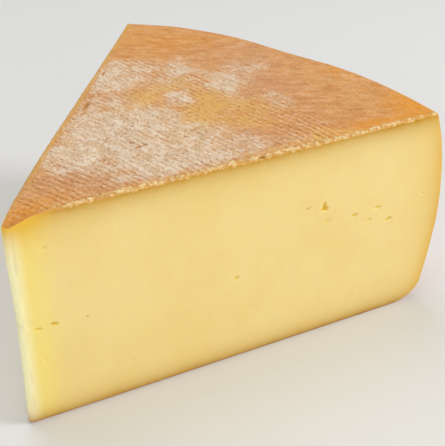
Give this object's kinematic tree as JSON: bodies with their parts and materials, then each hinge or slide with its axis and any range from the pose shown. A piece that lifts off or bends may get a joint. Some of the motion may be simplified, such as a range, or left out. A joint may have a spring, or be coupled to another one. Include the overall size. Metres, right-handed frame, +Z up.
{
  "type": "raclette cheese wedge",
  "caption": "Wedge cut from a round of raclette cheese: pale yellow cut faces with small eyes, an orange-brown washed rind on top, heel and underside, flat to stand on.",
  "frame": {"origin": "middle of the wedge's outer size, on the plane that it stands on", "axes": "+X along the front cut face from the tip to the heel, +Y from the front cut face towards the back, +Z up"},
  "size_m": [0.1522, 0.1254, 0.0761],
  "materials": {
    "cheese": "pale yellow paste with a soft satin surface on the two cut faces, and a dry orange-brown rind with a whitish bloom on top, heel and underside"
  },
  "bodies": {
    "root": {"raclette_wedge": "cheese"}
  },
  "joints": []
}
